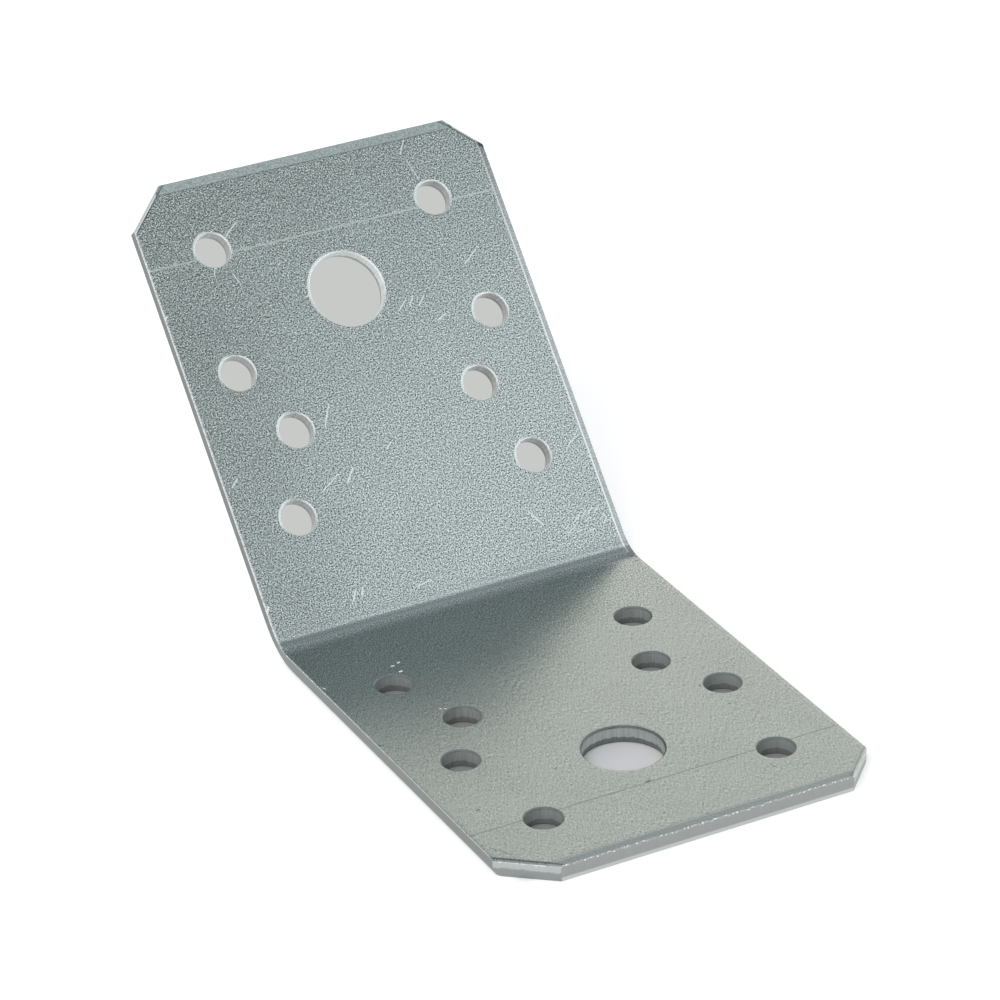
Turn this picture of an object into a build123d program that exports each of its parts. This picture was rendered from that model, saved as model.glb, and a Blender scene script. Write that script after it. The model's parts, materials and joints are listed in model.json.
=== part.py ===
"""Angle bracket for timber, folded from one strip of sheet steel.

The two legs are alike and open at a wide angle. X runs across the strip and +Z is up. The
lower leg lies on Z = 0 and points towards -Y, and the upper leg leans back towards +Y. The
origin is the middle of the underside of the bracket's box. All sizes are in millimetres.
"""

from build123d import *
from math import cos, radians, sin, tan
import os

# The strip and its fold
width = 55.0
thickness = 2.5
leg_length = 68.7  # on the outside, from where the outer faces would cross to the leg's end
legs_angle = 132.0  # degrees, inside the bracket
inner_bend_radius = 6.0

# Slit sides of the strip: the left one is rolled over outside, the right one inside
left_side_roll = 1.1
right_side_roll = 0.8

# Each end is pressed to a shallow bevel on the inside
end_bevel_width = 1.4
end_bevel_depth = 0.25

# Cropped corners, each with equal sides, and the roll that the punch left along them
left_corner_crop = 5.7
right_corner_crop = 5.0
crop_roll = 0.35

# Nail holes, two in a row: each row's distance from the leg's end, each hole's from the middle
nail_hole_diameter = 5.0
end_row_from_end = 10.9
end_row_offset = 17.3
wide_row_from_end = 28.9
wide_row_offset = 19.8
narrow_row_from_end = 38.8
narrow_row_offset = 14.4
fold_row_from_end = 50.8
fold_row_offset = 18.4

# One bolt hole in the middle of each leg
bolt_hole_diameter = 11.0
bolt_hole_from_end = 20.9

# Wall of every punched hole: drawn-in mouth, straight shorn land, then the part that broke wider
mouth_width = 0.2
mouth_depth = 0.2
shorn_depth = 1.5  # from the inner face to where the metal broke
break_widening = 0.1  # on the radius, at the outer face

# Line pressed across each leg by the edge of the folding clamp
pressed_line_from_end = 11.8
pressed_line_width = 0.3
pressed_line_depth = 0.06

# Groove that the nose of the bending punch pressed along the inside of the fold
nose_radius = 1.5
nose_mark_depth = 0.09

# How far a cutter runs past the faces it cuts
overrun = 1.0

fold = radians(180.0 - legs_angle)
outer_bend_radius = inner_bend_radius + thickness
along_upper = Vector(0, cos(fold), sin(fold))
upper_inward = Vector(0, -sin(fold), cos(fold))

# Where the flat faces of the two legs would cross, outside and inside
outer_crossing = Vector(0, leg_length * (1 - cos(fold)) / 2, 0)
inner_crossing = outer_crossing + Vector(0, -thickness * tan(fold / 2), thickness)

nail_rows = [
    (end_row_from_end, end_row_offset),
    (wide_row_from_end, wide_row_offset),
    (narrow_row_from_end, narrow_row_offset),
    (fold_row_from_end, fold_row_offset),
]


def on_leg(upper, x, from_end, height=0.0):
    """Place on a leg's inner face, with Z pointing inwards and Y away from the lower leg's end."""
    if upper:
        end = outer_crossing + along_upper * leg_length + upper_inward * thickness
        return Plane(end, x_dir=(1, 0, 0), z_dir=upper_inward) * Location((x, -from_end, height))
    end = outer_crossing + Vector(0, -leg_length, thickness)
    return Plane(end, x_dir=(1, 0, 0), z_dir=(0, 0, 1)) * Location((x, from_end, height))


def folded_strip():
    """The strip with its bend, square at every edge."""
    outline = Polyline(
        outer_crossing,
        on_leg(True, 0, 0, -thickness).position,
        on_leg(True, 0, 0).position,
        inner_crossing,
        on_leg(False, 0, 0).position,
        on_leg(False, 0, 0, -thickness).position,
        close=True,
    )
    profile = make_face(outline)
    outer_corner = profile.vertices().sort_by_distance(outer_crossing)[0]
    profile = fillet(outer_corner, outer_bend_radius)
    inner_corner = profile.vertices().sort_by_distance(inner_crossing)[0]
    profile = fillet(inner_corner, inner_bend_radius)
    return extrude(profile, width / 2, dir=(1, 0, 0), both=True)


def roll_side(body, x, crossing, height, radius):
    """Round one side of the strip along both legs and the bend, at a height above the inside."""
    middles = [
        on_leg(False, x, leg_length / 2, height).position,
        crossing + Vector(x, 0, 0),
        on_leg(True, x, leg_length / 2, height).position,
    ]
    edges = [body.edges().sort_by_distance(middle)[0] for middle in middles]
    return fillet(edges, radius)


def crop_corner(body, upper, side, crop):
    """Take off one corner of a leg, and roll over the edge that this leaves on the inside."""
    away = -1 if upper else 1
    before_crop = side * (width / 2 - crop - overrun)
    past_side = side * (width / 2 + overrun)
    corner = Polyline(
        (before_crop, -away * overrun),
        (past_side, -away * overrun),
        (past_side, away * (crop + overrun)),
        close=True,
    )
    body -= extrude(on_leg(upper, 0, 0) * make_face(corner), thickness + overrun, both=True)
    crop_middle = on_leg(upper, side * (width - crop) / 2, crop / 2).position
    return fillet(body.edges().sort_by_distance(crop_middle)[0], crop_roll)


def bar_across(upper, from_end, section, start, end):
    """Bar with the given (along, height) section, laid across a leg from start to end in X."""
    corners = [Vector(start, along, height) for along, height in section]
    outline = make_face(Polyline(*corners, close=True))
    return on_leg(upper, 0, from_end) * extrude(outline, end - start, dir=(1, 0, 0))


def end_bevel(upper):
    """Wedge that presses the bevel into the end of a leg."""
    away = -1 if upper else 1
    slope = end_bevel_depth / end_bevel_width
    section = [
        (away * end_bevel_width, 0),
        (-away * overrun, -slope * (end_bevel_width + overrun)),
        (-away * overrun, overrun),
        (away * end_bevel_width, overrun),
    ]
    return bar_across(upper, 0, section, -width / 2 - overrun, width / 2 + overrun)


def pressed_line(upper):
    """Bars that press the line across a leg, from side to side but for the two nail holes."""
    section = [
        (-pressed_line_width / 2, 0),
        (0, -pressed_line_depth),
        (pressed_line_width / 2, 0),
        (pressed_line_width / 2, overrun),
        (-pressed_line_width / 2, overrun),
    ]
    mouth_radius = nail_hole_diameter / 2 + mouth_width
    hole_inside = end_row_offset - mouth_radius
    hole_outside = end_row_offset + mouth_radius
    stretches = [
        (-width / 2 - overrun, -hole_outside),
        (-hole_inside, hole_inside),
        (hole_outside, width / 2 + overrun),
    ]
    return [
        bar_across(upper, pressed_line_from_end, section, start, end)
        for start, end in stretches
    ]


def nose_mark():
    """Round bar that presses the groove along the middle of the bend, from side to side."""
    outward = (outer_crossing - inner_crossing).normalized()
    bend_centre = inner_crossing - outward * (inner_bend_radius / cos(fold / 2))
    middle = bend_centre + outward * (inner_bend_radius + nose_mark_depth - nose_radius)
    bar = Cylinder(nose_radius, width + 2 * overrun)
    return Plane(middle, x_dir=(0, 1, 0), z_dir=(1, 0, 0)) * bar


def punch(diameter):
    """Punch for a hole, standing on the inner face: drawn-in mouth, straight land, wider break."""
    radius = diameter / 2
    mouth_slope = mouth_width / mouth_depth
    break_slope = break_widening / (thickness - shorn_depth)
    half = Polyline(
        (0, overrun),
        (radius + mouth_width + mouth_slope * overrun, overrun),
        (radius, -mouth_depth),
        (radius, -shorn_depth),
        (radius + break_slope * (thickness - shorn_depth + overrun), -thickness - overrun),
        (0, -thickness - overrun),
        close=True,
    )
    return Rot(X=90) * revolve(make_face(half), Axis.Y)


def leg_punches(upper):
    """Every hole of a leg: its bolt hole, and a pair of nail holes in each row."""
    punches = [on_leg(upper, 0, bolt_hole_from_end) * punch(bolt_hole_diameter)]
    for from_end, offset in nail_rows:
        for x in (-offset, offset):
            punches.append(on_leg(upper, x, from_end) * punch(nail_hole_diameter))
    return punches


def angle_bracket():
    """The whole bracket: the folded strip, its sides and corners, then what is pressed into it."""
    body = folded_strip()
    body = roll_side(body, -width / 2, outer_crossing, -thickness, left_side_roll)
    body = roll_side(body, width / 2, inner_crossing, 0, right_side_roll)
    cutters = [nose_mark()]
    for upper in (False, True):
        body = crop_corner(body, upper, -1, left_corner_crop)
        body = crop_corner(body, upper, 1, right_corner_crop)
        cutters += [end_bevel(upper), *pressed_line(upper), *leg_punches(upper)]
    return body - cutters


bracket = angle_bracket()
bracket.label = "angle_bracket"
os.makedirs("parts", exist_ok=True)
export_step(bracket, "parts/angle_bracket.step")
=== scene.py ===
"""Looks of the angle bracket: one folded strip of zinc-coated sheet steel, seen in a pale studio."""
import json
from math import radians
from types import SimpleNamespace

import bpy
import numpy as np
from mathutils import Matrix, Vector


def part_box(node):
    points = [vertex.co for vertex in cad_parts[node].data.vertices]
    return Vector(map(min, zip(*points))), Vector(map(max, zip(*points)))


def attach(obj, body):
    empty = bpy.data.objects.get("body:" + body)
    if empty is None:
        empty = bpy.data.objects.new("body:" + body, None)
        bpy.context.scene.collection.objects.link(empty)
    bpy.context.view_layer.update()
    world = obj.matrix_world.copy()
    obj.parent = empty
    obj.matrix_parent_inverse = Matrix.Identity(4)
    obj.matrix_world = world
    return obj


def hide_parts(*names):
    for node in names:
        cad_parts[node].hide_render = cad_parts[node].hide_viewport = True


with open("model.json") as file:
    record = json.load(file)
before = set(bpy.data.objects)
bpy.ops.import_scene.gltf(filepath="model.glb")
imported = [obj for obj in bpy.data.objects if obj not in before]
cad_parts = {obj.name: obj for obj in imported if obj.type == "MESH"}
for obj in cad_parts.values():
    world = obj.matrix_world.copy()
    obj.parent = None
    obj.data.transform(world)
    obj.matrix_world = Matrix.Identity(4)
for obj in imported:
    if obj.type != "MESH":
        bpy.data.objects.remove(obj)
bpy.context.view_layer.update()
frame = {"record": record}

NODE = "angle_bracket"
MM = 0.001

# Sizes that the frame gives, in millimetres
low, high = (np.array(corner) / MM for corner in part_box(NODE))
mounts = {mount["name"]: mount for mount in frame["record"]["mounts"]}
width = high[0] - low[0]
fold = float(np.arccos(-mounts["upper_seat"]["axis"][2]))
leg_length = (high[1] - low[1]) / (1 + np.cos(fold))

# Sizes of the sheet and its edges that the frame doesn't give, in millimetres
thickness = 2.5
inner_bend_radius = 6.0
nose_radius = 1.5
nose_mark_depth = 0.09
nose_mark_offset = 0.45  # towards the upper leg, from the middle of the bend
left_side_roll = 1.1
right_band_width = 0.85  # flattened by the slitting knife, on the inside of the right side
right_band_depth = 0.06
end_bevel_widths = (1.05, 1.4)  # lower end, upper end
end_bevel_depths = (0.1, 0.25)
left_crops = ((6.8, 5.6), (5.7, 5.7))  # lower and upper corner, each across the end and along the side
right_crops = ((5.0, 5.0), (4.65, 4.65))
crop_roll = 0.4
arris = 0.12  # what is left of a sharp corner
edge_draw_in = 0.18  # of the sides at the outside of the fold
draw_in_reach = 3.0
mouth_roll = 0.28
shorn_depth = 1.5
break_widening = 0.1
pressed_line_from_end = 11.8

# The strip laid flat: its straight legs, and the bend at the length of its middle layer
leg_straight = leg_length - (inner_bend_radius + thickness) * np.tan(fold / 2)
bend_length = fold * (inner_bend_radius + thickness / 2)
strip_length = 2 * leg_straight + bend_length
inner_leg = leg_length - thickness * np.tan(fold / 2)

# Place of the lens, in metres
lens_place = np.array([-253.286, -492.73, 316.228]) * MM

# Steps of the mesh, in millimetres and counts
grid_step = 0.55
bend_step = 0.12
crop_steps = 9
approach_steps = 3
roll_steps = 6
row_start = 7.2  # past every crop
COLUMNS = int(round(width / grid_step))
hole_reach = 1.42  # half of the square that a hole's rings fill, in radii
sharp_turn = radians(32)  # edges that turn more than this are shown sharp

# Finishes of the piece, in the order of its material slots; COAT is sorted into its three parts at the end
COAT_UPPER, COAT_LOWER, COAT_OUTER, SLIT, CROPPED, END, PUNCHED, COAT = range(8)

# Where one coat ends and the next begins, in millimetres
inner_coat_depth = 1.0  # coated parts deeper than this belong to the outside
seam_before_middle = 0.8  # from the seam of the two legs' coats to the middle of the fold

# The coat of zinc, with its sizes in millimetres
coat_colour = "#B9C2BD"
dimple_size, dimple_depth = 0.24, 0.03
speckle_size = 0.2
dark_grain, light_grain = "#4F5F5C", "#F0FCF6"  # of the speckle
lower_speckle_tones = (0.9, 1.1)  # darkest and lightest, as shares of the coat's colour
fold_speckle_tones = (0.62, 1.38)
weave_tones = (0.68, 1.28)
weave_cell = (0.12, 0.55, 1.0)  # across the strip, along it and through it


def side_rows():
    """Places along the strip of the rows that run straight across: close together in the bend."""
    straight = np.linspace(row_start, leg_straight, int((leg_straight - row_start) / grid_step))
    bend = np.linspace(leg_straight, leg_straight + bend_length, int(bend_length / bend_step))
    return np.concatenate([straight, bend[1:-1], (strip_length - straight)[::-1]])


SIDE_ROWS = side_rows()


def nose_mark(along):
    """Depth of the groove along the inside of the fold: the nose's circle less the bend's."""
    across = (along - strip_length / 2 - nose_mark_offset) / bend_length * fold * inner_bend_radius
    return np.clip(nose_mark_depth - across**2 / 2 * (1 / nose_radius - 1 / inner_bend_radius), 0, None)


def folded(x, along, height):
    """Place of a point of the flat strip once it is folded, in metres.

    x is across, along runs from the lower leg's end, height is above the inside. Before the
    bend a point goes straight on, in it the point turns about the bend's centre at its own
    radius, and past it the point goes on along the upper leg.
    """
    turn = np.clip((along - leg_straight) / bend_length, 0, 1) * fold
    before = np.minimum(along, leg_straight)
    after = np.maximum(along - leg_straight - bend_length, 0)
    radius = inner_bend_radius - np.minimum(height, -nose_mark(along))
    y = low[1] + before + radius * np.sin(turn) + after * np.cos(fold)
    z = thickness + inner_bend_radius - radius * np.cos(turn) + after * np.sin(fold)
    return np.stack([x, y, z], axis=-1) * MM


def roll_inset(depth, inset, reach):
    """How far a rolled corner draws back at a depth from its face: a quarter of an ellipse."""
    rest = np.clip(1 - depth / reach, 0, 1)
    return inset * (1 - np.sqrt(1 - rest**2))


def roll_depths(reach):
    """Depths of evenly turned points round a rolled corner."""
    return reach * (1 - np.cos(np.linspace(0, np.pi / 2, roll_steps + 1)))


def side_inset(depth, left):
    """Section of a slit side: one corner rolled, the other nearly sharp."""
    inner = roll_inset(depth, arris, arris)
    if left:
        return inner + roll_inset(thickness - depth, left_side_roll, left_side_roll)
    band = right_band_width * np.clip(1 - depth / right_band_depth, 0, 1)
    return inner + band + roll_inset(thickness - depth, arris, arris)


def draw_in(along, depth):
    """How far the fold pulled the outer half of a side in, fading along the strip and inwards."""
    return edge_draw_in * np.exp(-((along - strip_length / 2) / draw_in_reach) ** 2) * depth / thickness


def crop_inset(depth):
    """Section of a cropped corner: rolled inside, and leaning back below the shorn land."""
    broken = np.clip((depth - shorn_depth) / (thickness - shorn_depth), 0, 1)
    return roll_inset(depth, crop_roll, crop_roll) + break_widening * broken


def end_inset(depth, bevel):
    """Section of an end: the pressed bevel inside, with its width and depth, square below it."""
    bevel = bevel[0] * np.clip(1 - depth / bevel[1], 0, 1)
    return bevel + roll_inset(thickness - depth, arris, arris)


def crop_line(depth, reach, crop, bevel):
    """Points of one cropped corner at a depth: x, the distance from the end, and the approach to the rows.

    Each corner of the outline is where two lines cross, each set in by its own section.
    """
    across, along = crop
    slope = along / across
    foot = width / 2 - across - crop_inset(depth) * np.hypot(across, along) / along
    x = np.linspace(foot + end_inset(depth, bevel) / slope, reach, crop_steps + 1)
    from_end = (x - foot) * slope
    return x, from_end, np.linspace(from_end[-1], row_start, approach_steps + 1)[1:-1]


def side_line(depth, left):
    """One side of the strip's outline at a depth: lower crop, side, upper crop."""
    reach = width / 2 - side_inset(depth, left)
    lower, upper = (
        crop_line(depth, reach, crop, bevel)
        for crop, bevel in zip(left_crops if left else right_crops, zip(end_bevel_widths, end_bevel_depths)))
    side_along = np.concatenate([lower[2], SIDE_ROWS, strip_length - upper[2][::-1]])
    x = np.concatenate([lower[0], reach - draw_in(side_along, depth), upper[0][::-1]])
    along = np.concatenate([lower[1], side_along, strip_length - upper[1][::-1]])
    return (-x if left else x), along


def flat_grid(depth):
    """Points over the whole strip at a depth: each row runs straight from side line to side line."""
    share = np.linspace(0, 1, COLUMNS + 1)
    left_x, left_along = side_line(depth, True)
    right_x, right_along = side_line(depth, False)
    x = left_x[:, None] + (right_x - left_x)[:, None] * share
    along = left_along[:, None] + (right_along - left_along)[:, None] * share
    return np.stack([x, along, np.full_like(x, -depth)], axis=-1)


def loop_round(index):
    """Indices round the border of a block of the grid, starting on its first row."""
    return np.concatenate([index[0, :-1], index[:-1, -1], index[-1, :0:-1], index[:0:-1, 0]])


def ring_quads(rings, outward=False):
    """Quads between each ring of indices and the next, closed round the loop."""
    near, far = rings[:-1], rings[1:]
    near_next, far_next = np.roll(near, -1, axis=1), np.roll(far, -1, axis=1)
    corners = [near, far, far_next, near_next] if outward else [near, near_next, far_next, far]
    return np.stack(corners, axis=-1).reshape(-1, 4)


def hole_section(radius):
    """Distance from the hole's middle and depth, from its mouth to its far rim.

    Below the shorn land the wall widens in a curve, as the metal broke.
    """
    turn = np.linspace(0, np.pi / 2, roll_steps + 1)
    mouth = np.stack([radius + mouth_roll * (1 - np.sin(turn)), mouth_roll * (1 - np.cos(turn))], axis=1)
    broken = break_widening * np.array([0.0, 0.25, 0.7, 1.0])
    depths = np.array([shorn_depth, 1.75, 2.1, thickness - arris])
    wall = np.stack([radius + broken, depths], axis=1)
    rim = np.array([[radius + break_widening + arris, thickness]])
    return np.concatenate([mouth, wall, rim])


def strip_holes():
    """Middle and radius of every hole on the flat strip, from the lower leg's mounts."""
    holes = []
    for mount in frame["record"]["mounts"]:
        if not mount["name"].startswith("lower") or mount["kind"] == "flat_face":
            continue
        along = mount["pos_m"][1] / MM - low[1]
        radius = mount["dims"].get("r_mm") or mount["dims"]["hole_r_mm"]
        offset = mount["dims"].get("spacing_x_mm", 0) / 2
        for x in sorted({-offset, offset}):
            holes += [(x, along, radius), (x, strip_length - along, radius)]
    return holes


def hole_block(inside, hole_x, hole_along, radius):
    """First and last row and column of the square of cells round a hole."""
    reach = hole_reach * radius
    row_along = inside[:, inside.shape[1] // 2, 1]
    column_x = inside[inside.shape[0] // 2, :, 0]
    rows = np.searchsorted(row_along, [hole_along - reach, hole_along + reach])
    columns = np.searchsorted(column_x, [hole_x - reach, hole_x + reach])
    return rows - (1, 0), columns - (1, 0)


def hole_rings(inner_border, outer_border, middle, radius):
    """Rings of points from the square on the inside, through the hole, to the square outside.

    The flat rings on both faces lie closer together towards the hole.
    """
    away = inner_border[:, :2] - middle
    away /= np.linalg.norm(away, axis=1, keepdims=True)
    distance, depth = hole_section(radius).T
    wall = np.array(middle) + away * distance[:, None, None]
    wall = np.concatenate([wall, np.broadcast_to(-depth[:, None, None], wall.shape[:2] + (1,))], axis=2)
    shares = np.array([0.25, 0.5, 0.72, 0.88])[:, None, None]
    inner = inner_border + (wall[0] - inner_border) * shares
    outer = outer_border + (wall[-1] - outer_border) * shares[::-1]
    return np.concatenate([inner, wall, outer]), len(shares)


def rim_depths():
    """Depths of the rings round the outline: every point where one of its sections turns."""
    depths = np.concatenate([
        roll_depths(arris), roll_depths(crop_roll), np.linspace(0, right_band_depth, 3),
        np.linspace(0, end_bevel_depths[0], 3), [end_bevel_depths[1]], np.linspace(1.0, shorn_depth, 3),
        thickness - roll_depths(left_side_roll), thickness - roll_depths(arris)])
    return np.unique(np.round(depths, 2))


def rim_finish(border, depths):
    """Finish of each quad round the outline: the coat runs over rolls and bevels.

    A quad is of an end where the outline runs straight across, of a side where it runs nearly
    along the strip, and of a crop elsewhere. The crops are coated on the lower leg only, over
    most of their roll.
    """
    start = border[:, :2]
    end = np.roll(start, -1, axis=0)
    run = np.abs(end - start)
    at_end = run[:, 1] < 1e-6
    at_side = run[:, 0] < 0.3 * run[:, 1]
    middle_depth = ((depths[:-1] + depths[1:]) / 2)[:, None]
    right = (start[:, 0] > 0)[None, :]
    lower = (start[:, 1] < strip_length / 2)[None, :]
    bevel_depth = np.where(lower, *end_bevel_depths)
    coated = np.where(at_end, middle_depth < bevel_depth,
                      np.where(at_side, middle_depth < np.where(right, right_band_depth, arris),
                               (middle_depth < crop_roll * 0.7) & lower))
    bare = np.where(at_side, SLIT, np.where(at_end, END, CROPPED))
    return np.where(coated, COAT, bare[None, :]).ravel()


def strip_mesh():
    """Points of the flat strip, its quads and each quad's finish.

    Both faces are grids. Round each hole a square is left out of them, and rings run from
    its border over the mouth, down the wall and out again to the square on the far face.
    Rings also join the two faces round the whole outline.
    """
    inside, outside = flat_grid(0.0), flat_grid(thickness)
    rows, columns = inside.shape[:2]
    inner_index = np.arange(rows * columns).reshape(rows, columns)
    outer_index = inner_index + rows * columns
    points = [inside.reshape(-1, 3), outside.reshape(-1, 3)]
    count = 2 * rows * columns
    kept = np.ones((rows - 1, columns - 1), bool)
    quads, finishes = [], []

    def add_quads(new, finish):
        quads.append(new)
        finishes.append(np.broadcast_to(finish, len(new)))

    for hole_x, hole_along, radius in strip_holes():
        (first_row, last_row), (first_column, last_column) = hole_block(inside, hole_x, hole_along, radius)
        kept[first_row:last_row, first_column:last_column] = False
        block = (slice(first_row, last_row + 1), slice(first_column, last_column + 1))
        inner_loop, outer_loop = loop_round(inner_index[block]), loop_round(outer_index[block])
        rings, flat_rings = hole_rings(
            points[0][inner_loop], points[1][outer_loop - rows * columns], (hole_x, hole_along), radius)
        ring_index = count + np.arange(rings.shape[0] * rings.shape[1]).reshape(rings.shape[:2])
        points.append(rings.reshape(-1, 3))
        count += ring_index.size
        all_rings = np.concatenate([inner_loop[None], ring_index, outer_loop[None]])
        wall_start = flat_rings + 2  # the coat runs one step into the mouth
        wall_end = len(all_rings) - 2 - flat_rings
        add_quads(ring_quads(all_rings[:wall_start + 1]), COAT)
        add_quads(ring_quads(all_rings[wall_start:wall_end + 1]), PUNCHED)
        add_quads(ring_quads(all_rings[wall_end:]), COAT)

    for index, flip in ((inner_index, False), (outer_index, True)):
        corners = [index[:-1, :-1], index[:-1, 1:], index[1:, 1:], index[1:, :-1]]
        add_quads(np.stack(corners[::-1] if flip else corners, axis=-1)[kept], COAT)

    depths = rim_depths()
    border = loop_round(inner_index)
    levels = np.stack([flat_grid(depth).reshape(-1, 3)[border] for depth in depths[1:-1]])
    level_index = count + np.arange(levels.shape[0] * levels.shape[1]).reshape(levels.shape[:2])
    points.append(levels.reshape(-1, 3))
    all_levels = np.concatenate([border[None], level_index, loop_round(outer_index)[None]])
    add_quads(ring_quads(all_levels, outward=True), rim_finish(levels[len(levels) // 2], depths))

    points, quads, finishes = np.concatenate(points), np.concatenate(quads), np.concatenate(finishes)
    middle = points[quads].mean(axis=1)
    on_lower_leg = middle[:, 1] < strip_length / 2 - seam_before_middle
    coat = np.where(on_lower_leg, COAT_LOWER, COAT_UPPER)
    coat = np.where(middle[:, 2] < -inner_coat_depth, COAT_OUTER, coat)
    finishes = np.where(finishes == COAT, coat, finishes)
    used, compact = np.unique(quads, return_inverse=True)
    return points[used], compact.reshape(quads.shape), finishes


def sheet_piece(name):
    """The folded strip as one piece, with each point's place on the flat strip as an attribute."""
    flat, quads, finishes = strip_mesh()
    mesh = bpy.data.meshes.new(name)
    mesh.vertices.add(len(flat))
    mesh.vertices.foreach_set("co", folded(*flat.T).astype(np.float32).ravel())
    mesh.loops.add(quads.size)
    mesh.loops.foreach_set("vertex_index", quads.astype(np.int32).ravel())
    mesh.polygons.add(len(quads))
    mesh.polygons.foreach_set("loop_start", np.arange(0, quads.size, 4, dtype=np.int32))
    mesh.polygons.foreach_set("material_index", finishes.astype(np.int32))
    mesh.update(calc_edges=True)
    place = mesh.attributes.new("flat_place", "FLOAT_VECTOR", "POINT")
    place.data.foreach_set("vector", flat.astype(np.float32).ravel())
    mesh.shade_smooth()
    mesh.set_sharp_from_angle(angle=sharp_turn)
    piece = bpy.data.objects.new(name, mesh)
    bpy.context.scene.collection.objects.link(piece)
    return piece


def linear(hex_colour):
    """An sRGB hex colour as linear RGBA."""
    parts = np.array([int(hex_colour[i:i + 2], 16) for i in (1, 3, 5)]) / 255
    parts = np.where(parts <= 0.04045, parts / 12.92, ((parts + 0.055) / 1.055) ** 2.4)
    return (*parts.tolist(), 1.0)


def add_node(tree, kind, inputs=None, out=0, **settings):
    """Adds a node with its settings, sets or links the given inputs, and gives one of its outputs."""
    node = tree.nodes.new(kind)
    for name, value in settings.items():
        setattr(node, name, value)
    for key, value in (inputs or {}).items():
        if isinstance(value, bpy.types.NodeSocket):
            tree.links.new(value, node.inputs[key])
        else:
            node.inputs[key].default_value = value
    return node.outputs[out]


def new_material(name):
    """An empty node material and its tree."""
    material = bpy.data.materials.new(name)
    material.use_nodes = True
    material.node_tree.nodes.clear()
    return material, material.node_tree


def end_tree(tree, surface):
    """Joins the finished surface to the tree's output."""
    tree.links.new(surface, tree.nodes.new("ShaderNodeOutputMaterial").inputs["Surface"])


def strip_place(tree):
    """Sockets that give a point's place on the flat strip, in millimetres.

    They are the place itself, its x, how far along the strip it is, its height above the
    inside, and its distance from the nearer end.
    """
    place = add_node(tree, "ShaderNodeAttribute", out="Vector", attribute_name="flat_place")
    x, along, height = add_node(tree, "ShaderNodeSeparateXYZ", {0: place}).node.outputs
    rest = add_node(tree, "ShaderNodeMath", {0: strip_length, 1: along}, operation="SUBTRACT")
    from_end = add_node(tree, "ShaderNodeMath", {0: along, 1: rest}, operation="MINIMUM")
    return SimpleNamespace(place=place, x=x, along=along, height=height, from_end=from_end)


def past(tree, value, edge, soft, below=False):
    """1 where a value is past an edge and 0 before it, or the other way round, with a soft step."""
    ends = {"To Min": 1.0, "To Max": 0.0} if below else {}
    return add_node(tree, "ShaderNodeMapRange", {
        "Value": value, "From Min": edge - soft, "From Max": edge + soft, **ends},
        interpolation_type="SMOOTHSTEP")


def stripe(tree, value, middle, half_width, soft=0.05):
    """1 where a value is within half a width of a middle, with soft sides."""
    away = add_node(tree, "ShaderNodeMath", {0: value, 1: middle}, operation="SUBTRACT")
    away = add_node(tree, "ShaderNodeMath", {0: away}, operation="ABSOLUTE")
    return past(tree, away, half_width, soft, below=True)


def product(tree, masks):
    """Product of masks and plain numbers."""
    whole, *rest = masks
    for mask in rest:
        whole = add_node(tree, "ShaderNodeMath", {0: whole, 1: mask}, operation="MULTIPLY")
    return whole


def laid_over(tree, colour, *layers):
    """A colour with layers over it in turn, each a colour and then the masks whose product is its cover."""
    colour = linear(colour) if isinstance(colour, str) else colour
    for layer, *masks in layers:
        layer = linear(layer) if isinstance(layer, str) else layer
        colour = add_node(tree, "ShaderNodeMix", {
            0: product(tree, masks), 6: colour, 7: layer}, out=2, data_type="RGBA")
    return colour


def shaded(tree, colour, *tones):
    """A colour made lighter or darker by the product of its tones."""
    colour = linear(colour)[:3] if isinstance(colour, str) else colour
    tone = product(tree, tones)
    return add_node(tree, "ShaderNodeVectorMath", {0: colour, "Scale": tone}, operation="SCALE")


def grain(tree, place, size, low_value, high_value, detail=1.0):
    """Fine noise of a grain size in millimetres, brought between two values."""
    noise = add_node(tree, "ShaderNodeTexNoise", {"Vector": place, "Scale": 1 / size, "Detail": detail})
    return add_node(tree, "ShaderNodeMapRange", {
        "Value": noise, "From Min": 0.3, "From Max": 0.7, "To Min": low_value, "To Max": high_value},
        clamp=False)


def streaks(tree, place, across, along, height, detail=2.0):
    """Noise drawn out into streaks of the given sizes in millimetres, as a tool leaves them."""
    scale = (1 / across, 1 / along, 1 / height)
    drawn = add_node(tree, "ShaderNodeMapping", {"Vector": place, "Scale": scale})
    return add_node(tree, "ShaderNodeTexNoise", {"Vector": drawn, "Scale": 1.0, "Detail": detail})


def on_upper(x, from_fold):
    """Flat place of a mark on the upper leg, from its distance to the inner fold line."""
    return x, strip_length - inner_leg + from_fold


def on_lower(x, from_fold):
    """Flat place of a mark on the lower leg, from its distance to the inner fold line."""
    return x, inner_leg - from_fold


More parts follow.
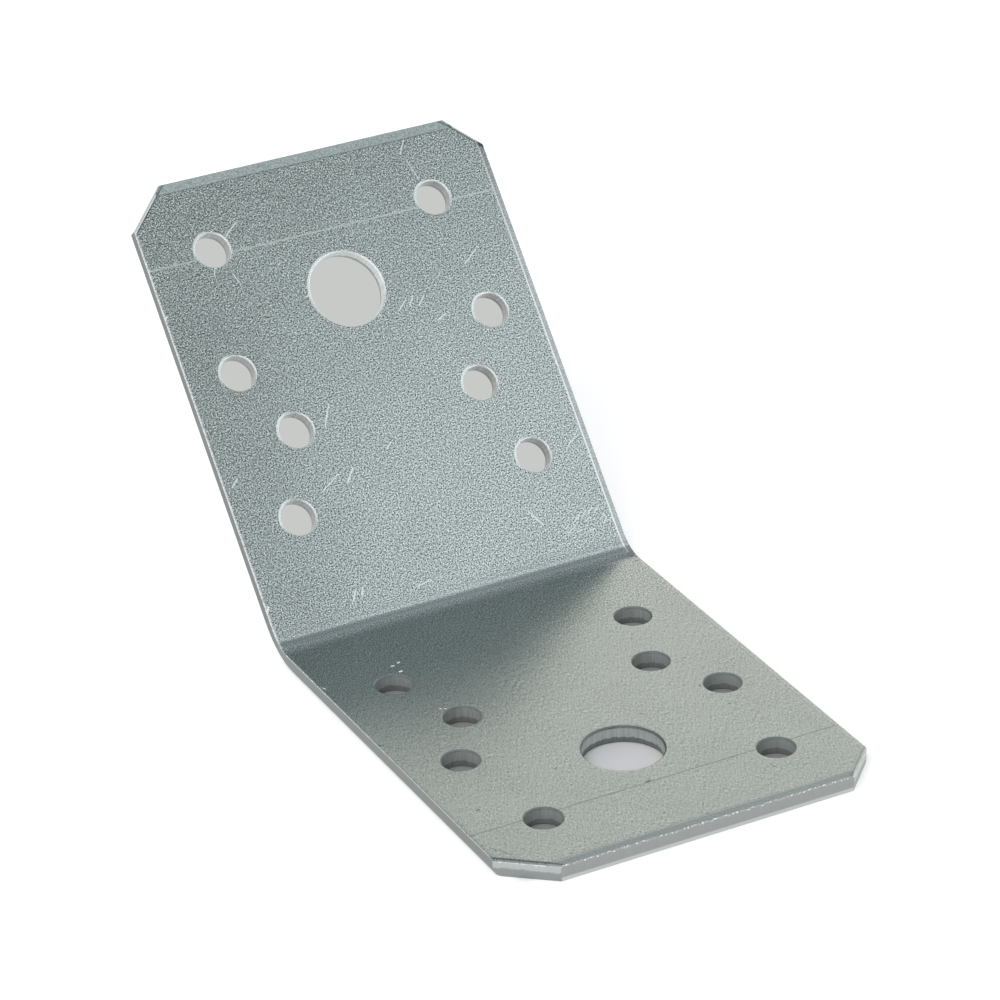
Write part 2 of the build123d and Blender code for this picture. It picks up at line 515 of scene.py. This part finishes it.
def strokes(tree, place, on_leg, marks):
    """Mask of a leg's straight strokes.

    A point's distance from a stroke is its distance from the nearest point of the stroke's middle line.
    """
    mask = 0.0
    for start_x, start_from_fold, end_x, end_from_fold, half_width in marks:
        start = on_leg(start_x, start_from_fold)
        run = np.subtract(on_leg(end_x, end_from_fold), start)
        from_start = add_node(tree, "ShaderNodeVectorMath", {
            0: place, 1: (*start, 0)}, operation="SUBTRACT")
        share = add_node(tree, "ShaderNodeVectorMath", {
            0: from_start, 1: (*(run / (run @ run)).tolist(), 0)}, out="Value", operation="DOT_PRODUCT")
        share = add_node(tree, "ShaderNodeMath", {0: share, 1: 0.0}, operation="ADD", use_clamp=True)
        nearest = add_node(tree, "ShaderNodeVectorMath", {
            0: (*run.tolist(), 0), "Scale": share}, operation="SCALE")
        away = add_node(tree, "ShaderNodeVectorMath", {
            0: from_start, 1: nearest}, out="Value", operation="DISTANCE")
        spot = past(tree, away, half_width, 0.4 * half_width, below=True)
        mask = add_node(tree, "ShaderNodeMath", {0: mask, 1: spot}, operation="MAXIMUM")
    return mask


# Marks in millimetres: x and the distance from the fold of both ends, then half the width
UPPER_SCRATCHES = [
    (-15, 58, -12.75, 59.75, 0.09), (-15.6, 52.6, -15.2, 51.3, 0.08), (-18.35, 53.1, -17.85, 54.25, 0.08),
    (-6.5, 47, -5.75, 47, 0.09), (3.15, 42.4, 3.45, 41.6, 0.09), (14.65, 64, 15.9, 65.9, 0.09),
    (15.25, 63, 16.1, 59.75, 0.07), (18.4, 46.1, 20.75, 47.85, 0.08), (6.3, 41.8, 7.6, 42.9, 0.08),
    (8.2, 42.2, 9.1, 43.4, 0.09), (9.6, 41.9, 10.7, 43.1, 0.08), (11.4, 39.1, 12.9, 39.7, 0.08),
    (-10.2, 28.2, -9.4, 29.8, 0.09), (-9.5, 29.5, -8.6, 31.2, 0.08), (-13.75, 19.5, -10.75, 21.25, 0.07),
    (-9.75, 19.85, -8.35, 21.6, 0.1), (-2.5, 23, -1.6, 23.75, 0.08), (-26.25, 23.25, -25.1, 24.25, 0.08),
    (23.25, 16, 24.6, 17.4, 0.06), (24.7, 17.2, 26.3, 18.9, 0.06), (14.65, 9.1, 16.1, 6.75, 0.09),
    (19.1, 5.3, 19.9, 5.8, 0.07), (19.5, 4.7, 20.8, 5.4, 0.07), (20.6, 5.9, 21.9, 6.7, 0.08),
    (20.7, 4.4, 21.2, 4.6, 0.07), (22.6, 5.7, 23.3, 6.1, 0.08), (22.5, 4.2, 23.4, 4.3, 0.07),
    (22.3, 6.5, 23.0, 7.1, 0.07), (23.3, 6.7, 24.1, 7.3, 0.07), (24.2, 6.5, 25.1, 7.2, 0.07),
    (24.8, 5.4, 25.6, 5.9, 0.07), (25.0, 4.7, 25.8, 5.5, 0.07), (26.0, 4.8, 26.5, 5.3, 0.07),
    (-27.4, 5.1, -27.0, 5.8, 0.16), (-27.4, 48.5, -27.1, 49, 0.12), (-14.85, 3.5, -14.1, 4.75, 0.11),
    (-13.35, 4, -12.85, 5, 0.1), (-5.25, 3.1, -2.75, 3.4, 0.07)]
LOWER_SCRATCHES = [(13.25, 4.75, 15, 4.75, 0.07), (-27.3, 12.2, -26.8, 13.6, 0.09)]
LOWER_SPECKS = [  # nearly white
    (-16.5, 12.25, -16.2, 12.3, 0.14), (-15.35, 11.9, -15.1, 11.8, 0.13), (-16.2, 14.15, -15.9, 14.1, 0.16),
    (-16.05, 25.6, -15.9, 25.7, 0.1), (-15.45, 25.9, -15.3, 26, 0.09), (-27.1, 12.8, -26.9, 13.2, 0.07)]
LOWER_PITS = [  # dark, the longer ones cracks
    (-23.7, 50.75, -23.4, 50.7, 0.14), (-1.5, 55.6, -1.0, 55.5, 0.18), (6.2, 40.15, 6.5, 40.2, 0.12),
    (16.7, 37.75, 17.0, 37.7, 0.12), (17.7, 43.9, 18.0, 43.9, 0.1), (-3.5, 63.35, -3.2, 63.3, 0.1),
    (14.5, 60.65, 14.8, 60.6, 0.1), (-10.2, 46.75, -9.9, 46.7, 0.12), (-26.6, 59.4, -24.9, 62.3, 0.05),
    (26.3, -0.2, 27.3, 0.1, 0.12), (26.4, 1.6, 27.1, 1.7, 0.12), (26.5, 3.2, 27.2, 3.2, 0.12),
    (-27.4, 30.0, -26.9, 30.3, 0.12)]


def inside_crop(tree, at, leg):
    """How far a place is in from the nearer cropped corner of the lower (0) or upper (1) leg.

    It is the distance straight across to the crop's line, times the crop's length along the
    side over its own length.
    """
    nearest = 1000.0
    for side, crops in ((-1, left_crops), (1, right_crops)):
        across, along = crops[leg]
        line = add_node(tree, "ShaderNodeMath", {
            0: at.from_end, 1: across / along, 2: width / 2 - across}, operation="MULTIPLY_ADD")
        away = add_node(tree, "ShaderNodeMath", {0: at.x, 1: -side, 2: line}, operation="MULTIPLY_ADD")
        away = add_node(tree, "ShaderNodeMath", {
            0: away, 1: along / np.hypot(across, along)}, operation="MULTIPLY")
        nearest = add_node(tree, "ShaderNodeMath", {0: nearest, 1: away}, operation="MINIMUM")
    return nearest


def hole_rim_highlights(tree, at):
    """Mask of the painted highlights in arcs round the holes of the upper leg, on their left and away from
    the fold.
    """
    mask = 0.0
    for hole_x, hole_along, radius in strip_holes():
        if hole_along < strip_length / 2:
            continue
        away = add_node(tree, "ShaderNodeVectorMath", {
            0: at.place, 1: (hole_x, hole_along, 0)}, out="Value", operation="DISTANCE")
        arc = product(tree, [
            stripe(tree, away, radius + mouth_roll + 0.06, 0.12),
            past(tree, at.x, hole_x - 0.25 * radius, 0.35 * radius, below=True),
            past(tree, at.along, hole_along - 0.4 * radius, 0.4 * radius)])
        mask = add_node(tree, "ShaderNodeMath", {0: mask, 1: arc}, operation="MAXIMUM")
    return mask


def cloud(tree, at):
    """Slow change of tone over the coat, of 3 per cent either way in patches of 9 mm."""
    return grain(tree, at.place, 9.0, 0.97, 1.03, detail=3.0)


def speckle(tree, at):
    """The coat's fine speckle, from dark teal to nearly white."""
    light = grain(tree, at.place, speckle_size, 0.1, 0.9, detail=0.0)
    return laid_over(tree, dark_grain, (light_grain, light))


def coat_surface(tree, at, colour, swing, dimpled=1.0, metallic=1.0):
    """Satin zinc in a colour, with fine dimples as strong as the swing where it is dimpled."""
    dimples = grain(tree, at.place, dimple_size, 0.0, 1.0)
    bump = add_node(tree, "ShaderNodeBump", {
        "Strength": dimpled, "Height": product(tree, [dimples, swing]), "Distance": dimple_depth * MM})
    return add_node(tree, "ShaderNodeBsdfPrincipled", {
        "Base Color": colour, "Metallic": metallic, "Roughness": 0.2, "Normal": bump})


def upper_coat():
    """Hot-dip zinc as it cooled: satin metal with fine dimples.

    The dimples break up what the metal mirrors, so that the leg sparkles. They fade out into
    the fold, which the bending punch rubbed smooth, as the press did the bevel and the knife
    the band along the right side. What scratched or pressed the coat left it smooth and pale,
    and the painted highlights round the rims of the holes are smooth and pale too.
    """
    bevel_width = end_bevel_widths[1]
    band_start = width / 2 - right_band_width
    pressed_line_reach = 26.4  # from the middle to the right
    left_shade_share = 0.13  # painted shade, as a share of the coat's tone: on the left, fading out towards the end
    material, tree = new_material("zinc_upper")
    at = strip_place(tree)
    flat = product(tree, [
        past(tree, at.from_end, bevel_width + 0.05, 0.12),
        past(tree, at.x, band_start - 0.05, 0.08, below=True)])
    rough = product(tree, [past(tree, at.along, strip_length / 2 + 0.9, 1.6), flat])
    # painted shade: mask of the left of the leg, away from the end, where the coat is made darker
    dulled = product(tree, [past(tree, at.x, -14, 9, below=True), past(tree, at.from_end, 20, 12)])
    tone = add_node(tree, "ShaderNodeMath", {
        0: dulled, 1: -left_shade_share, 2: cloud(tree, at)}, operation="MULTIPLY_ADD")
    rubbed = grain(tree, at.place, 0.22, 0.8, 1.2, detail=0.0)
    speckled = add_node(tree, "ShaderNodeMix", {0: rough, 2: 0.32, 3: 1.0}, data_type="FLOAT")
    colour = laid_over(tree, shaded(tree, coat_colour, rubbed), (speckle(tree, at), speckled, flat))
    colour = shaded(tree, colour, tone)

    pressed = product(tree, [
        stripe(tree, at.from_end, pressed_line_from_end, 0.15),
        past(tree, at.x, pressed_line_reach, 0.2, below=True), 0.65])
    on_bevel = past(tree, at.from_end, bevel_width, 0.05, below=True)
    # painted shade: a dark line along the inner edge of the bevel
    bevel_crease_shade = stripe(tree, at.from_end, bevel_width + 0.1, 0.09)
    # painted shade: a dark line on the rolled corners of the crops
    crop_line = stripe(tree, inside_crop(tree, at, 1), crop_roll + 0.08, 0.14, 0.1)
    # painted highlights: bright lines along the left arris and along the inner edge of the right band
    left_edge_highlight = product(tree, [
        stripe(tree, at.x, -width / 2 + arris, 0.13), grain(tree, at.place, 0.5, 0.5, 1.1)])
    edge_highlights = add_node(tree, "ShaderNodeMath", {
        0: stripe(tree, at.x, band_start, 0.12), 1: left_edge_highlight}, operation="MAXIMUM")
    # scratches, with the painted highlights round the holes' rims, which are laid on smooth and pale in the
    # same way
    scratched = add_node(tree, "ShaderNodeMath", {
        0: strokes(tree, at.place, on_upper, UPPER_SCRATCHES), 1: hole_rim_highlights(tree, at)}, operation="MAXIMUM")
    colour = laid_over(
        tree, colour,
        ("#DDECE6", pressed),
        (shaded(tree, "#A7B2AF", rubbed), on_bevel),
        ("#56605D", bevel_crease_shade, 0.5),
        ("#3E4745", crop_line, 0.6),
        ("#F8FBFA", edge_highlights),
        ("#F3FEFA", scratched, 0.95))

    swing = add_node(tree, "ShaderNodeMix", {0: rough, 2: 0.14, 3: 1.0}, data_type="FLOAT")
    smooth = add_node(tree, "ShaderNodeMath", {0: scratched, 1: pressed}, operation="MAXIMUM")
    dimpled = add_node(tree, "ShaderNodeMath", {0: 1.0, 1: smooth}, operation="SUBTRACT")
    metallic = add_node(tree, "ShaderNodeMath", {0: smooth, 1: -0.8, 2: 1.0}, operation="MULTIPLY_ADD")
    end_tree(tree, coat_surface(tree, at, colour, swing, dimpled, metallic))
    return material


def lower_coat():
    """The same zinc, rolled smoother.

    Worn rolls left a fine weave drawn out along the strip, with dark dashes in it. It looks
    duller than the upper leg, and next to the fold its speckle is stronger.
    """
    material, tree = new_material("zinc_lower")
    at = strip_place(tree)
    weave_place = add_node(tree, "ShaderNodeMapping", {
        "Vector": at.place, "Rotation": (0, 0, radians(-3)), "Scale": weave_cell}, vector_type="TEXTURE")
    weave = add_node(tree, "ShaderNodeMix", {
        0: grain(tree, at.place, 3.5, 0.5, 1.15), 2: 1.0, 3: grain(tree, weave_place, 1.0, *weave_tones)},
        data_type="FLOAT")
    dashes = add_node(tree, "ShaderNodeTexNoise", {"Vector": weave_place, "Scale": 0.9, "Detail": 0.0})
    dashes = add_node(tree, "ShaderNodeMapRange", {
        "Value": dashes, "From Min": 0.22, "From Max": 0.32, "To Min": 0.45, "To Max": 1.0})
    fine = add_node(tree, "ShaderNodeMix", {
        0: past(tree, at.along, strip_length / 2 - 18, 12),
        2: grain(tree, at.place, 0.16, *lower_speckle_tones, detail=0.0),
        3: grain(tree, at.place, speckle_size, *fold_speckle_tones, detail=0.0)}, data_type="FLOAT")
    tone = add_node(tree, "ShaderNodeMix", {
        0: past(tree, at.from_end, end_bevel_widths[0] + 0.05, 0.1), 2: 1.25,
        3: product(tree, [weave, dashes, fine])}, data_type="FLOAT")
    speck = strokes(tree, at.place, on_lower, LOWER_SPECKS)
    colour = laid_over(
        tree, shaded(tree, coat_colour, tone, cloud(tree, at)),
        ("#6E7773", stripe(tree, at.from_end, pressed_line_from_end, 0.12), 0.5),
        # painted shade on the rolled corners of the crops, darker on the left side than on the right
        (laid_over(tree, "#5E6663", ("#949C99", past(tree, at.x, 0.0, 1.0))),
         stripe(tree, inside_crop(tree, at, 0), 0.15, 0.28, 0.15), 0.6),
        # painted shade: a faint dark line along the inner edge of the right band
        ("#6E7773", stripe(tree, at.x, width / 2 - right_band_width, 0.08), 0.2),
        ("#F4F8F6", strokes(tree, at.place, on_lower, LOWER_SCRATCHES), 0.7),
        ("#FAFCFB", speck),
        ("#4F5654", strokes(tree, at.place, on_lower, LOWER_PITS), 0.7))
    bare = add_node(tree, "ShaderNodeMath", {0: 1.0, 1: speck}, operation="SUBTRACT")
    end_tree(tree, coat_surface(tree, at, colour, 0.22, metallic=bare))
    return material


def outer_coat():
    """The zinc on the outside of the bracket: the same sparkle all over, with nothing pressed into it."""
    material, tree = new_material("zinc_outer")
    at = strip_place(tree)
    end_tree(tree, coat_surface(tree, at, shaded(tree, speckle(tree, at), cloud(tree, at)), 0.8))
    return material


def slit_edge():
    """Slit steel side: cut metal dulled to a plain grey.

    The lower leg shows a light line along the top of its sides, a painted highlight.
    """
    material, tree = new_material("slit_edge")
    at = strip_place(tree)
    lower = past(tree, at.along, strip_length / 2, 3.0, below=True)
    colour = laid_over(
        tree, "#6A6F6E",
        ("#7E8482", streaks(tree, at.place, 1.0, 3.0, 0.15)),
        ("#8E9694", lower, 0.4),
        # painted highlight: a light line along the top of the lower leg's sides
        ("#B4BCBA", past(tree, at.height, -0.2, 0.05), lower, grain(tree, at.place, 0.6, 0.5, 1.1)))
    end_tree(tree, add_node(tree, "ShaderNodeBsdfPrincipled", {
        "Base Color": colour, "Metallic": 1.0, "Roughness": 0.36}))
    return material


def cropped_edge():
    """Cropped steel: a bright burnished band inside with a ragged rim, a grey torn band outside. The rim is a
    painted highlight, and on the upper leg the upper part of the crop is painted nearly white, also a painted
    highlight.
    """
    material, tree = new_material("cropped_edge")
    at = strip_place(tree)
    ragged = add_node(tree, "ShaderNodeMath", {
        0: at.height, 1: grain(tree, at.place, 0.7, -0.12, 0.12)}, operation="ADD")
    colour = laid_over(
        tree, "#959997",
        ("#B9BEBC", past(tree, ragged, -1.25, 0.12)),
        ("#8E9391", streaks(tree, at.place, 0.15, 0.15, 2.0), 0.25),
        # painted highlight: the nearly white ragged rim of the burnished band
        ("#EEF1F0", past(tree, ragged, -0.36, 0.06), grain(tree, at.place, 0.4, 0.2, 1.2)),
        # painted highlight: the upper part of the upper leg's crops painted nearly white
        ("#F4F6F5", past(tree, at.along, strip_length / 2, 3.0), past(tree, at.height, -1.7, 0.2)))
    end_tree(tree, add_node(tree, "ShaderNodeBsdfPrincipled", {
        "Base Color": colour, "Metallic": 1.0, "Roughness": 0.34}))
    return material


def end_face():
    """Sheared end of the strip: grey with fine upright lines, painted glints along the top arris, a light
    band below.
    """
    material, tree = new_material("end_face")
    at = strip_place(tree)
    # painted glints along the top arris
    sparkle = product(tree, [past(tree, at.height, -0.42, 0.05), grain(tree, at.place, 0.3, -1.7, 1.3)])
    sparkle = add_node(tree, "ShaderNodeMath", {0: sparkle, 1: 0.0}, operation="ADD", use_clamp=True)
    colour = laid_over(
        tree, "#919492",
        ("#A3A6A4", streaks(tree, at.place, 0.16, 1.0, 2.5, detail=3.0)),
        ("#BFC2C0", past(tree, at.height, -1.9, 0.08, below=True)),
        ("#F4F6F5", sparkle))
    end_tree(tree, add_node(tree, "ShaderNodeBsdfPrincipled", {
        "Base Color": colour, "Metallic": 1.0, "Roughness": 0.34}))
    return material


def punched_wall():
    """Wall of a punched hole: a land with fine upright lines, then a duller torn part.

    The big punch burnished its land bright; the small one left it dull. The small holes' land is painted
    lighter on the lower leg than on the upper, as painted light, and the mouth is painted nearly white on the
    upper leg as a painted highlight and dark on the lower leg as painted shade.
    """
    material, tree = new_material("punched_wall")
    at = strip_place(tree)
    big = stripe(tree, at.x, 0.0, 8.0)
    upper = past(tree, at.along, strip_length / 2, 3.0)
    ragged = add_node(tree, "ShaderNodeMath", {
        0: at.height, 1: grain(tree, at.place, 0.8, -0.12, 0.12)}, operation="ADD")
    land = past(tree, ragged, -1.6, 0.08)
    # painted light: the small holes' land lighter on the lower leg than on the upper
    small_land = laid_over(tree, "#B4B9B6", ("#959997", upper))
    small_wall = laid_over(tree, shaded(tree, small_land, 0.62), (small_land, land))
    big_wall = laid_over(tree, "#868A88", ("#C4C9C7", land))
    # painted highlight on the mouths of the upper leg's holes, painted shade on those of the lower leg
    mouth = laid_over(tree, "#7B8280", ("#F2F6F4", upper))
    colour = laid_over(
        tree, small_wall, (big_wall, big), (mouth, past(tree, at.height, 0.03 - mouth_roll, 0.05)))
    lines = add_node(tree, "ShaderNodeMapRange", {
        "Value": streaks(tree, at.place, 0.2, 0.2, 4.0),
        "From Min": 0.35, "From Max": 0.65, "To Min": 0.85, "To Max": 1.08})
    shiny = add_node(tree, "ShaderNodeMath", {0: big, 1: upper}, operation="MAXIMUM")
    metallic = add_node(tree, "ShaderNodeMix", {0: shiny, 2: 0.35, 3: 1.0}, data_type="FLOAT")
    end_tree(tree, add_node(tree, "ShaderNodeBsdfPrincipled", {
        "Base Color": shaded(tree, colour, lines), "Metallic": metallic, "Roughness": 0.36}))
    return material


def flat_card(name, points, material):
    """A flat card between four points, with its front where they run anticlockwise, and in the scene."""
    mesh = bpy.data.meshes.new(name)
    mesh.from_pydata(points, [], [(0, 1, 2, 3)])
    mesh.materials.append(material)
    card = bpy.data.objects.new(name, mesh)
    bpy.context.scene.collection.objects.link(card)
    return card


def studio_floor():
    """Pale floor that shows white to the lens and to the metal, and still takes the shadow.

    Its own glow stops under the lower leg, so the holes there look down on shaded floor, and
    its colour is painted darker there as painted shade, where the small holes let in little light.
    """
    reach = 3.0
    drop = 0.02 * MM
    shade_start, shade_end = (low[1] + 3) * MM, 12 * MM
    shade_half_width = (width / 2 - 3) * MM
    soft = 1.5 * MM
    big_hole_y = mounts["lower_bolt_hole"]["pos_m"][1]
    patch_half = 7 * MM  # of the patch under the big hole that is kept out of the painted shade
    patch_soft = 0.5 * MM
    # dark is painted shade on the floor under the lower leg, away from the big hole
    pale, dark = (0.8, 0.8, 0.8, 1), (0.36, 0.36, 0.36, 1)
    material, tree = new_material("pale_floor")
    rays = add_node(tree, "ShaderNodeLightPath").node
    seen = add_node(tree, "ShaderNodeMath", {
        0: rays.outputs["Is Camera Ray"], 1: rays.outputs["Is Glossy Ray"]}, operation="MAXIMUM")
    seen = add_node(tree, "ShaderNodeMath", {
        0: seen, 1: rays.outputs["Is Transmission Ray"]}, operation="MAXIMUM")
    place = add_node(tree, "ShaderNodeTexCoord", out="Object")
    x, y, _ = add_node(tree, "ShaderNodeSeparateXYZ", {0: place}).node.outputs
    under = product(tree, [
        stripe(tree, x, 0.0, shade_half_width, soft),
        stripe(tree, y, (shade_start + shade_end) / 2, (shade_end - shade_start) / 2, soft)])
    open_hole = product(tree, [
        stripe(tree, x, 0.0, patch_half, patch_soft), stripe(tree, y, big_hole_y, patch_half, patch_soft)])
    glowing = add_node(tree, "ShaderNodeMath", {0: 1.0, 1: under}, operation="SUBTRACT")
    closed = add_node(tree, "ShaderNodeMath", {0: 1.0, 1: open_hole}, operation="SUBTRACT")
    diffuse = add_node(tree, "ShaderNodeBsdfDiffuse", {"Color": laid_over(tree, pale, (dark, under, closed))})
    glow = add_node(tree, "ShaderNodeEmission", {"Color": (1, 1, 1, 1), "Strength": 0.47})
    both = add_node(tree, "ShaderNodeAddShader", {0: diffuse, 1: glow})
    end_tree(tree, add_node(tree, "ShaderNodeMixShader", {
        0: product(tree, [seen, glowing]), 1: diffuse, 2: both}))
    corners = [(-reach, -reach, -drop), (reach, -reach, -drop), (reach, reach, -drop), (-reach, reach, -drop)]
    flat_card("floor", corners, material)


def grey_backdrop():
    """Pale grey backdrop that the lens sees through the holes of the upper leg; it is clear from behind.

    It stands free behind the leg, and is the leg's outline, drawn in and enlarged from the lens.
    """
    inset = 3.0
    enlarged = 1.03
    x = (width / 2 - inset) * np.array([-1, 1, 1, -1])
    along = np.repeat([strip_length / 2 + 13, strip_length - 7], 2)
    points = lens_place + (folded(x, along, -thickness) - lens_place) * enlarged
    material, tree = new_material("grey_card")
    seen = add_node(tree, "ShaderNodeLightPath", out="Is Camera Ray")
    behind = add_node(tree, "ShaderNodeNewGeometry", out="Backfacing")
    in_front = add_node(tree, "ShaderNodeMath", {0: 1.0, 1: behind}, operation="SUBTRACT")
    clear = add_node(tree, "ShaderNodeBsdfTransparent")
    grey = add_node(tree, "ShaderNodeEmission", {"Color": linear("#C7CAC7"), "Strength": 1.0})
    end_tree(tree, add_node(tree, "ShaderNodeMixShader", {
        0: product(tree, [seen, in_front]), 1: clear, 2: grey}))
    flat_card("backdrop", points.tolist(), material)


def studio_world():
    """White behind everything; the metal mirrors a bright back wall and a ceiling that is darker at the back.

    The front wall is dim, so that the lit card's edge shows in the grain of the upper leg. The
    side walls are bright, and draw light lines along the edges that turn towards them.
    """
    back_wall, back_ceiling = (0.93, 0.905, 0.87, 1), (0.29, 0.31, 0.345, 1)
    high_back_ceiling = (0.43, 0.465, 0.505, 1)
    front_wall, front_ceiling = (0.128, 0.142, 0.148, 1), (0.98, 0.99, 1.03, 1)
    left_wall, right_wall = (1.0, 1.01, 1.03, 1), (1.3, 1.3, 1.3, 1)
    world = bpy.data.worlds.new("studio")
    bpy.context.scene.world = world
    world.use_nodes = True
    tree = world.node_tree
    tree.nodes.clear()
    direction = add_node(tree, "ShaderNodeTexCoord", out="Generated")
    x, y, z = add_node(tree, "ShaderNodeSeparateXYZ", {0: direction}).node.outputs
    back = laid_over(
        tree, back_wall,
        (back_ceiling, past(tree, z, 0.60, 0.06)),
        (high_back_ceiling, past(tree, z, 0.77, 0.05)))
    front = laid_over(
        tree, front_wall,
        (front_ceiling, past(tree, z, 0.82, 0.04)),
        (left_wall, past(tree, x, -0.15, 0.08, below=True)))
    room = laid_over(
        tree, front,
        (back, past(tree, y, -0.12, 0.09)),
        (right_wall, past(tree, x, 0.84, 0.04)))
    seen = add_node(tree, "ShaderNodeLightPath", out="Is Camera Ray")
    background = add_node(tree, "ShaderNodeBackground", {
        "Color": laid_over(tree, room, ("#FFFFFF", seen)), "Strength": 1.0})
    tree.links.new(background, tree.nodes.new("ShaderNodeOutputWorld").inputs["Surface"])


def turned_to(place, aim):
    """Turn that makes a lamp or card at a place face a point."""
    return (Vector(aim) - Vector(place)).to_track_quat("-Z", "Y").to_euler()


def high_lamp():
    """Large soft lamp high on the left, which the metal doesn't mirror."""
    light = bpy.data.lights.new("high_lamp", "AREA")
    light.shape = "SQUARE"
    light.size = 1.0
    light.energy = 8.0
    lamp = bpy.data.objects.new("high_lamp", light)
    lamp.location = (-0.9, -0.6, 1.3)
    lamp.rotation_euler = turned_to(lamp.location, (0, 0, 0.02))
    lamp.visible_glossy = False
    bpy.context.scene.collection.objects.link(lamp)


def mirrored_card():
    """Lit card close in front on the right, which only the metal sees.

    It gives the upper leg its light: bright low on the right, falling off towards the upper left.
    """
    half = 0.091
    material, tree = new_material("lit_card")
    end_tree(tree, add_node(tree, "ShaderNodeEmission", {
        "Color": (0.985, 1.0, 1.06, 1), "Strength": 0.90}))
    material.cycles.emission_sampling = "NONE"
    corners = [(-half, -half, 0), (-half, half, 0), (half, half, 0), (half, -half, 0)]
    card = flat_card("mirrored_card", corners, material)
    card.location = (0.103, -0.100, 0.102)
    card.rotation_euler = turned_to(card.location, (0.01, 0.025, 0.02))
    card.visible_camera = False
    card.visible_diffuse = False
    card.visible_transmission = False
    card.visible_shadow = False


def photo_camera():
    """Camera at the photo's place: its position, its direction, its roll and its lens."""
    forward = np.array([0.40609, 0.78466, -0.46841])
    roll = radians(1.533)
    focal_share = 4.6491  # focal length as a share of the picture's width
    level = np.cross(forward, [0, 0, 1.0])
    level /= np.linalg.norm(level)
    down = np.cross(forward, level)
    right = level * np.cos(roll) + down * np.sin(roll)
    up = level * np.sin(roll) - down * np.cos(roll)
    camera_data = bpy.data.cameras.new("camera")
    camera_data.sensor_width = 36.0
    camera_data.lens = focal_share * camera_data.sensor_width
    camera_data.clip_start = 0.01
    camera = bpy.data.objects.new("camera", camera_data)
    turn = Matrix(np.stack([right, up, -forward], axis=1).tolist()).to_4x4()
    camera.matrix_world = Matrix.Translation(lens_place.tolist()) @ turn
    bpy.context.scene.collection.objects.link(camera)
    bpy.context.scene.camera = camera


bpy.context.scene.view_settings.view_transform = "Standard"

sheet = sheet_piece("folded_sheet")
for make_finish in (upper_coat, lower_coat, outer_coat, slit_edge, cropped_edge, end_face, punched_wall):
    sheet.data.materials.append(make_finish())
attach(sheet, "root")
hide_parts(NODE)

studio_floor()
grey_backdrop()
studio_world()
high_lamp()
mirrored_card()
photo_camera()
